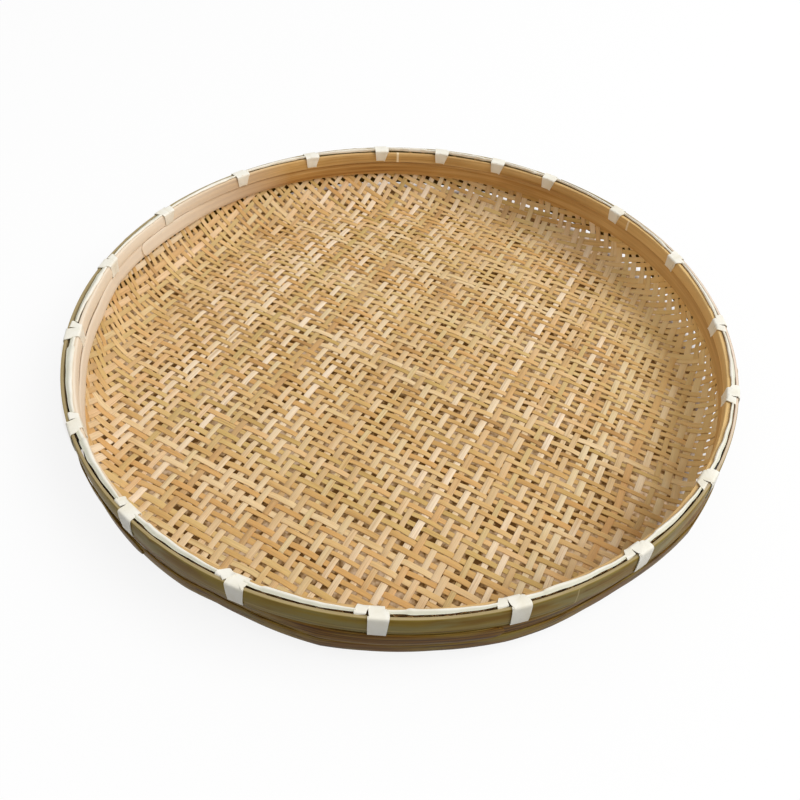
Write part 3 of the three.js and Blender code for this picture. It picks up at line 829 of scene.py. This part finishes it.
def addLoop(bm, angle, laid, rng):
    off = band["clear"] + band["thickness"] / 2
    outside, behind = tray["rimRadius"] + off, tray["matOuter"] + off
    lean, crown = outerHoop["lean"], outerHoop["crown"]
    foot = outerHoop["bottom"] - off
    middle = (outerHoop["bottom"] + outerHoop["top"]) / 2
    top, inside, drop = overRim(angle)
    bulge = band["innerBulge"] * rng.uniform(0.6, 1.2) * np.interp(tuckedShare(angle), [0, 0.4], [0.1, 1])
    skew, left, right = laid[:3]
    slant, within = (left + right) / 2, right - left
    slot, bend = tray["slotHeight"], band["bend"]
    wide, through = band["topWidth"], band["slotWidth"]
    narrow = band["footWidth"] * rng.uniform(0.94, 1.06)
    # radius, height, aside, width and bend at each corner, from behind the outer hoop's foot
    stops = [
        (behind, foot, skew, narrow, bend * 0.8),
        (outside + lean, foot, skew, narrow, bend * 0.8),
        (outside + lean / 2 + crown, middle, skew * 0.5, (wide + narrow) / 2, 6 * mm),
        (outside, top, 0, wide, band["shoulder"]),
        (297.4 * mm, top + 0.3 * mm, 0, wide * 0.98, 1.2 * mm),
        (295.2 * mm, top + 0.35 * mm - drop * 0.4, slant * 0.8, within + (wide - within) * 0.2, 1.2 * mm),
        (inside - bulge, top + 0.2 * mm - drop, slant, within, bend * 1.5),
        (inside - bulge * 0.7, tray["rimHeight"] - 5 * mm, slant, within * 0.95, 3 * mm),
        (inside, slot, slant * 0.6, min(through, within), bend),
        (behind, slot, 0, through, bend * 0.6),
    ]
    layBand(bm, roundedRoute(stops, True), angle, rng, closed=True)


def addFlap(bm, angle, laid, rng):
    # the arriving tail opens out, turns over the inner hoop and goes down behind the loop
    top, inside, drop = overRim(angle)
    tucked = tuckedShare(angle)
    loop, flap = laid[1] / mm, laid[3] / mm
    bulge = band["innerBulge"] * rng.uniform(0.8, 1.1) * np.interp(tucked, [0, 0.4], [0.1, 1])
    # radius, height, (left, right) edges in mm beside the loop and the same tucked behind it, bend
    edges = [
        (297.6 * mm, top - 0.9 * mm, (-16.0, -8.7), (-9.8, -0.4), 0),
        (297.2 * mm, top + 0.5 * mm, (-16.6, -8.6), (-9.8, -0.4), 0.9 * mm),
        (293.6 * mm, top + 0.4 * mm - drop / 2, ((flap - 16.6) / 2, loop * 0.7 - 3), (-9.8, -0.4), 2 * mm),
        (inside - bulge + 0.3 * mm, top - drop, (flap, loop + 0.6), (-9.7, -0.3), 1.5 * mm),
        (inside - bulge * 0.6 + 0.5 * mm, tray["rimHeight"] - 5 * mm, (flap * 0.9, loop + 1.4),
         (-7.6, 1.8), 3 * mm),
        (inside + 0.3 * mm, tray["slotHeight"] + 0.8 * mm, (-8.6, -0.4), (-5.3, 4.1), 0),
    ]
    stops = []
    for radius, height, beside, hidden, bend in edges:
        left, right = [(near + tucked * (far - near)) * mm for near, far in zip(beside, hidden)]
        stops.append((radius, height, (left + right) / 2, right - left, bend))
    layBand(bm, roundedRoute(stops, False), angle, rng, crown=0.1 * mm)


# widths, heights and the two ranges of lengths in mm
tail = {
    "radius": 294.8 * mm, "leftRadius": 293.6 * mm, "leftInset": 0.8 * mm, "stray": 0.3 * mm,
    "startUnder": 2.5 * mm,  # inside the edge of its own loop
    "stopShort": (15.2, 9),  # of the middle of the next lashing, beside its loop or at the back
    "root": (10, 14), "rootWidth": 3.0, "foldWidth": (4.0, 5.0), "taperWidth": 2.2, "leftWider": 0.36,
    "rootHeight": 1.0, "foldHeight": 0.95, "taperHeight": 0.5, "station": 1.6 * mm,
    "hang": 2.2 * mm,  # at the back the inner flank hangs down to the lower inner hoop
    "section": np.array([(-0.5, 0.3), (-0.43, 0.78), (-0.28, 1.0), (-0.12, 0.98), (0.02, 0.8), (0.2, 0.5),
                         (0.38, 0.22), (0.5, 0.08), (0.4, 0.0), (-0.4, 0.0)]),
    "hanging": [0, 8, 9],  # corners of the section on the inner flank
    # the section's outer, lower half carries painted shade
    "shade": [0, 0, 0, 0.1, 0.6, 1, 1, 1, 1, 0],
}


def tailOnLeft(turn):
    # on the left the tails are folded wider and lie further in
    return np.interp(-np.cos(turn), [0.55, 0.9], [0, 1])


def tailRadiusAt(turn):
    inward = (tail["radius"] - tail["leftRadius"]) * tailOnLeft(turn)
    return tail["radius"] - inward - tail["leftInset"] * leftShare(turn)


def addTail(bm, angle, nextAngle, rng):
    # the band folded narrow: a thin root, then the wider fold that tapers to the next flap
    reach = (nextAngle - angle) % (2 * math.pi) * tray["rimRadius"]
    start = band["topWidth"] / 2 - tail["startUnder"]
    end = reach - np.interp(tuckedShare(nextAngle), [0, 1], tail["stopShort"]) * mm
    root = start + rng.uniform(*tail["root"]) * mm
    base = tray["rimHeight"] + 0.3 * mm
    stations = int((end - start) / tail["station"])
    aside = np.linspace(start, end, stations)
    turn = angle + aside / tray["rimRadius"]
    outward = outwardAt(turn)
    opened = np.interp(aside, [root, root + 2.5 * mm], [0, 1])
    taper = np.interp(aside, [root, end], [0, 1])
    wide = rng.uniform(*tail["foldWidth"]) - tail["rootWidth"]
    widths = tail["rootWidth"] + opened * wide - tail["taperWidth"] * taper
    widths = widths * (1 + 0.08 * slowNoise(rng, stations, 6)) * (1 + tail["leftWider"] * tailOnLeft(turn))
    heights = tail["rootHeight"] + opened * tail["foldHeight"] - tail["taperHeight"] * taper
    heights = heights * (1 + 0.12 * slowNoise(rng, stations, 5))
    radius = tailRadiusAt(turn) + (0.9 * taper - 0.2) * mm * opened
    radius += tail["stray"] * slowNoise(rng, stations, 9)
    centres = outward * radius[:, None] + np.array([0, 0, base])
    outline = tail["section"] * np.stack([widths, heights], -1)[:, None] * mm
    outline[..., 1] += (0.12 * mm * slowNoise(rng, stations, 5))[:, None]
    outline[:, tail["hanging"], 1] -= (tail["hang"] * farSag(turn))[:, None]
    rollBar(bm, centres, outward, upwards(stations), outline, tone=float(rng.uniform()),
            shade=tail["shade"])


bandLook = {
    "white": (247, 243, 230), "aged": (0.42, 0.7, 0.8, (234, 226, 204)),
    # the grey green tint below is painted shade on the outer half of each tail
    "fold": (0.0, 1.0, 0.8, (214, 213, 190)), "ribs": 1050, "ribDepth": 0.16 * mm,
    "grain": {"cloud": ((40, 60, 60), 3.0), "scuffs": ((300, 900, 900), 2.0)},
}


def makeBandMaterial():
    # white packing band with fine lengthwise ribs
    material, tree, shader = startMaterial("packingBand", 0.46)
    place = attribute(tree, "grainPlace", "Vector")
    noise = noisesOf(tree, place, bandLook["grain"])
    colour = tint(tree, linear(bandLook["white"]), noise["cloud"], bandLook["aged"])
    # painted shade on the outer half of each tail
    colour = tint(tree, colour, attribute(tree, "skinAndTailShade"), bandLook["fold"])
    mapping = addNode(tree, "ShaderNodeMapping", {"Vector": place, "Scale": (0, bandLook["ribs"], 0)})
    wave = addNode(tree, "ShaderNodeTexWave", {"Vector": mapping.outputs["Vector"], "Scale": 1.0},
                   bands_direction="Y")
    height = mixColours(tree, 0.3, wave.outputs["Color"], noise["scuffs"])
    tree.links.new(colour, shader.inputs["Base Color"])
    addBump(tree, shader, height, 0.4, bandLook["ribDepth"])
    return material


def buildLashing(material):
    angles = tieAngles()
    for index, angle in enumerate(angles):
        rng = np.random.default_rng(100 + index)
        bm = bmesh.new()
        laid = laidAs(index + 1, angle, rng)
        addLoop(bm, angle, laid, rng)
        addFlap(bm, angle, laid, rng)
        addTail(bm, angle, angles[(index + 1) % len(angles)], rng)
        number = "%02d" % (index + 1)
        finishPiece(bm, "lashing_" + number, "rim_tie_" + number, material, 50)


buildLashing(makeBandMaterial())


# Floor, light and camera

studio = {
    "floorHalf": 3.0, "whiteFloor": (250, 250, 250), "plainFloor": (70, 70, 70),
    "glow": 0.85,  # how much of the seen floor is plain white, so that the shadow stays faint
    # how far the painted shade reaches from the middle: degrees, metres
    "shadeEdge": np.array([(0, 0.3), (30, 0.31), (45, 0.317), (90, 0.327), (130, 0.336), (160, 0.345),
                           (180, 0.333), (187, 0.32), (197, 0.313), (207, 0.3), (225, 0.288), (270, 0.284),
                           (320, 0.288), (345, 0.293), (360, 0.3)]),
    # across that edge: offset in metres, share of white
    "shadeSoft": [(-1.0, 0.0), (-0.01, 0.0), (-0.003, 0.3), (0.007, 1.0), (0.05, 1.0)],
    "shadeTurns": 120,
    # painted shade on the floor under the tray, with painted patches of light as if through the weave
    "shade": [(0.44, (90, 60, 28)), (0.48, (136, 104, 66)), (0.54, (166, 134, 98)),
              (0.62, (198, 168, 136))],
    # sizes of the painted patches of light, and how much of the painted shade glows by itself where seen
    "dapple": 190, "patch": 26, "shadeGlow": 0.8,
    "skyStrength": 0.52, "keyPlace": (3.0, -0.5, 4.0), "keySize": 4.0, "keyPower": 182,
}


def seenDirectly(tree):
    # 1 for rays from the camera and for reflections
    paths = addNode(tree, "ShaderNodeLightPath").outputs
    seen = paths["Is Camera Ray"]
    for kind in ("Is Glossy Ray", "Is Transmission Ray"):
        seen = addNode(tree, "ShaderNodeMath", {0: seen, 1: paths[kind]}, operation="MAXIMUM").outputs[0]
    return seen


def mixShaders(tree, share, first, second):
    return addNode(tree, "ShaderNodeMixShader", {0: share, 1: first.outputs[0], 2: second.outputs[0]})


def makeFloor():
    # white round the tray, and a painted brown shade beneath it that glows where seen and shows through the
    # weave
    bm = bmesh.new()
    edges, soft = studio["shadeEdge"], studio["shadeSoft"]
    last = len(soft) - 1
    whiteLayer = bm.verts.layers.float.new("whiteShare")
    sheet = bmesh.ops.create_grid(bm, x_segments=last, y_segments=studio["shadeTurns"], size=0.5)
    for vert in sheet["verts"]:
        ring, turn = round((vert.co.x + 0.5) * last), (vert.co.y + 0.5) * 360
        edge = np.interp(turn, edges[:, 0], edges[:, 1])
        offset, share = soft[ring]
        radius = studio["floorHalf"] if ring == last else max(0.0, edge + offset)
        vert[whiteLayer] = share
        vert.co = (radius * math.cos(math.radians(turn)), radius * math.sin(math.radians(turn)), 0)
    bmesh.ops.remove_doubles(bm, verts=bm.verts, dist=0.001 * mm)
    material, tree, shader = startMaterial("paleFloorPaintedShade", 0.9)
    seen = seenDirectly(tree)
    place = addNode(tree, "ShaderNodeTexCoord").outputs["Object"]
    dapple, patch = [addNode(tree, "ShaderNodeTexNoise", {
        "Vector": place, "Scale": scale, "Detail": 2.0}).outputs["Fac"]
        for scale in (studio["dapple"], studio["patch"])]
    shade = colourRamp(tree, mixColours(tree, 0.5, dapple, patch), studio["shade"])
    plain = mixColours(tree, seen, linear(studio["plainFloor"]), shade)
    tree.links.new(plain, shader.inputs["Base Color"])
    # the painted shade glows by itself where seen, though it is no lamp
    shadeGlow = addNode(tree, "ShaderNodeEmission", {"Color": shade, "Strength": 1.0})
    shadeShare = addNode(tree, "ShaderNodeMath", {0: seen, 1: studio["shadeGlow"]}, operation="MULTIPLY")
    under = mixShaders(tree, shadeShare.outputs[0], shader, shadeGlow)
    white = addNode(tree, "ShaderNodeBsdfDiffuse", {"Color": linear(studio["whiteFloor"])})
    glow = addNode(tree, "ShaderNodeEmission", {"Strength": 1.0})
    bright = mixShaders(tree, studio["glow"], white, glow)
    outside = attribute(tree, "whiteShare")
    share = addNode(tree, "ShaderNodeMath", {0: seen, 1: outside}, operation="MULTIPLY").outputs[0]
    joined = mixShaders(tree, share, under, bright)
    tree.links.new(joined.outputs[0], tree.nodes["Material Output"].inputs["Surface"])
    meshObject(bm, "floor", material)


def makeLight():
    world = bpy.data.worlds.new("studio")
    bpy.context.scene.world = world
    world.use_nodes = True
    tree = world.node_tree
    background = tree.nodes["Background"]
    strength = mapRange(tree, seenDirectly(tree), 0.0, 1.0, studio["skyStrength"], 1.0)
    tree.links.new(strength, background.inputs["Strength"])
    background.inputs["Color"].default_value = (1, 1, 1, 1)
    light = bpy.data.lights.new("key", "AREA")
    light.shape = "DISK"
    light.size = studio["keySize"]
    light.energy = studio["keyPower"]
    lamp = bpy.data.objects.new("key", light)
    lamp.location = studio["keyPlace"]
    lamp.rotation_euler = (-Vector(studio["keyPlace"])).to_track_quat("-Z", "Y").to_euler()
    bpy.context.scene.collection.objects.link(lamp)


view = {
    "place": (0, -0.49584, 0.49886), "aim": (0.0007, -0.1101, 0.066),
    "roll": math.radians(2.508), "lens": 31.68, "sensor": 36,
}


def makeCamera():
    data = bpy.data.cameras.new("camera")
    data.lens = view["lens"]
    data.sensor_width = view["sensor"]
    data.clip_start = 0.01
    camera = bpy.data.objects.new("camera", data)
    place = Vector(view["place"])
    turn = (Vector(view["aim"]) - place).to_track_quat("-Z", "Y").to_matrix().to_4x4()
    spin = turn @ turn.Rotation(view["roll"], 4, "Z")
    camera.location = place
    camera.rotation_euler = spin.to_euler()
    bpy.context.scene.collection.objects.link(camera)
    bpy.context.scene.camera = camera


makeFloor()
makeLight()
makeCamera()
bpy.context.scene.view_settings.view_transform = "Standard"
print("stage ready")
